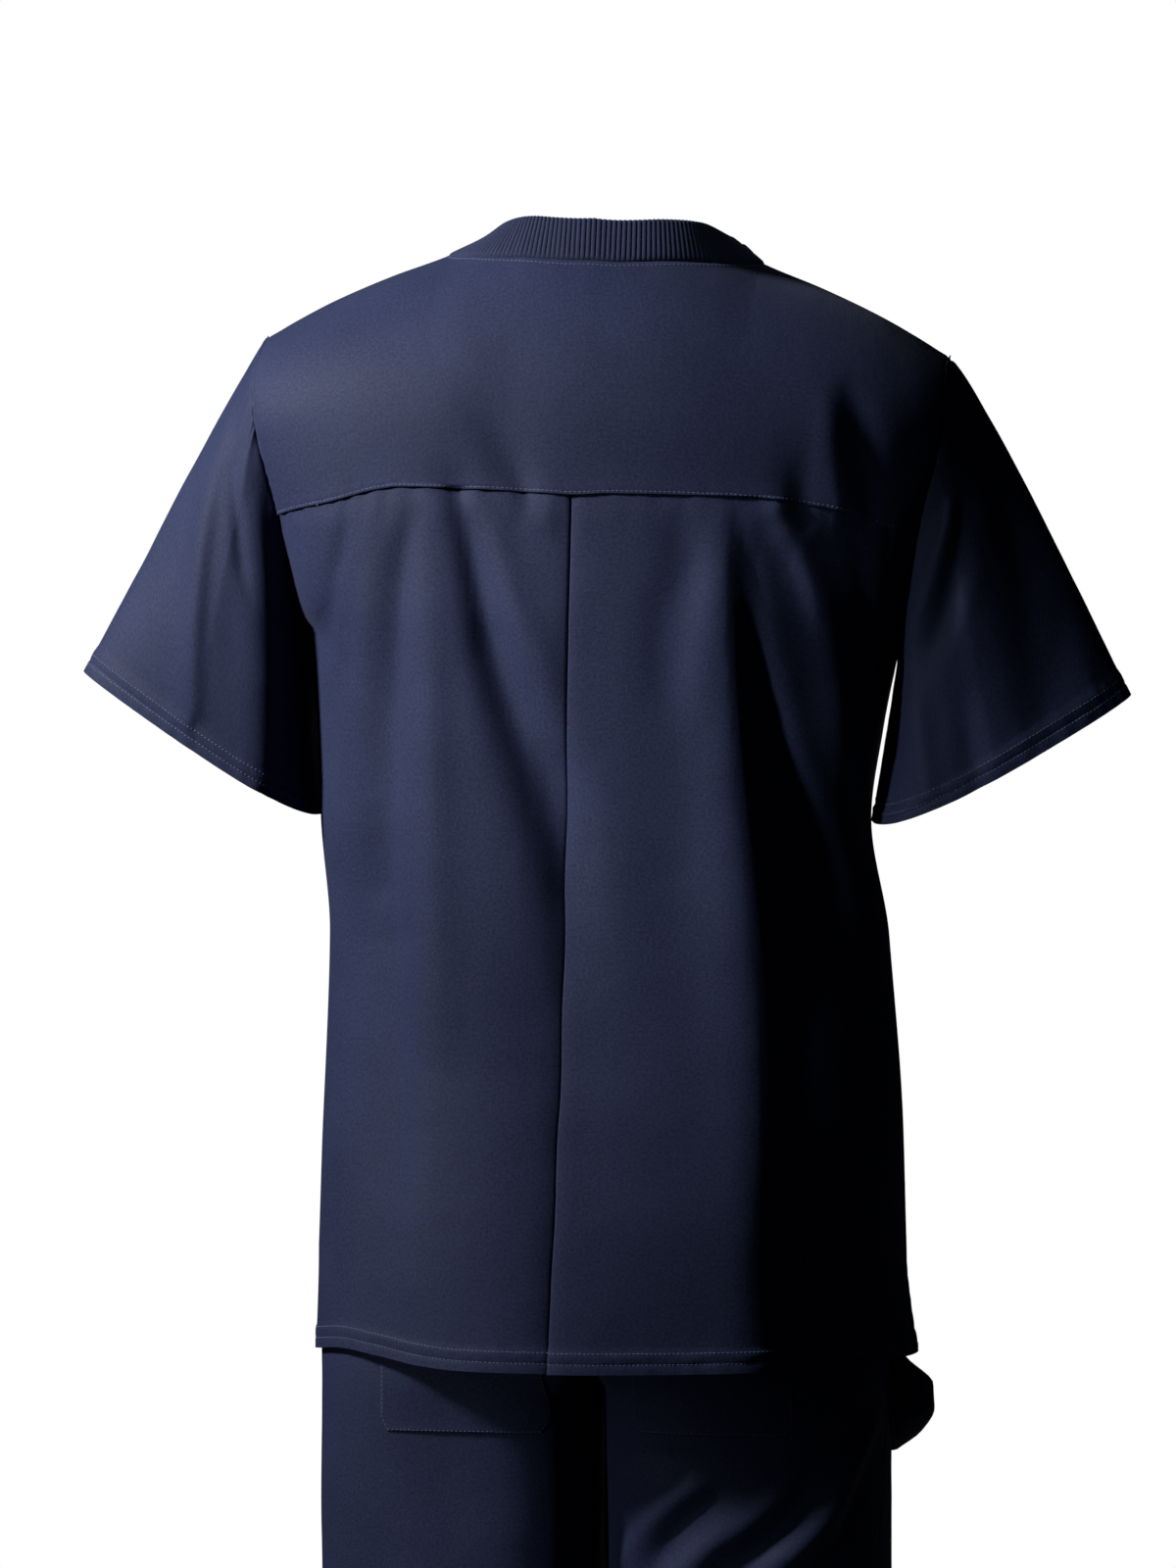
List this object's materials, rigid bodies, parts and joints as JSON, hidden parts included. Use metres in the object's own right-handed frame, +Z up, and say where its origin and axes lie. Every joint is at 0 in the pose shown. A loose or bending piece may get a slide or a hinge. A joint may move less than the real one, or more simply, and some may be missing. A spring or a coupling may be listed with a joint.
{
  "type": "medical scrubs",
  "caption": "Hollow short-sleeved scrub top with yoke and pleated back over straight scrub trousers, as worn by a standing adult.",
  "frame": {"origin": "where the wearer's shoulders hold the top up: level with the neck points of the shoulder seams, midway between them", "axes": "+Z up along the body; the front faces -Y and the back +Y; the wearer's left side is +X"},
  "size_m": [0.7313, 0.2856, 1.5712],
  "materials": {
    "top_cloth": "smooth fine twill in navy, soft satin sheen",
    "neck_rib": "matt knitted rib in navy",
    "trouser_cloth": "smooth fine twill in navy, soft satin sheen"
  },
  "bodies": {
    "root": {"top_back_yoke": "top_cloth", "top_back_lower": "top_cloth", "top_front": "top_cloth", "top_sleeve_left": "top_cloth", "top_sleeve_right": "top_cloth", "top_neck_band_left": "top_cloth", "top_neck_band_right": "top_cloth", "top_neck_rib": "neck_rib", "trouser_waistband": "trouser_cloth", "trouser_back_left": "trouser_cloth", "trouser_back_right": "trouser_cloth", "trouser_front_left": "trouser_cloth", "trouser_front_right": "trouser_cloth", "trouser_back_pocket_left": "trouser_cloth", "trouser_back_pocket_right": "trouser_cloth", "trouser_side_pocket_left": "trouser_cloth", "trouser_side_pocket_right": "trouser_cloth"}
  },
  "joints": []
}
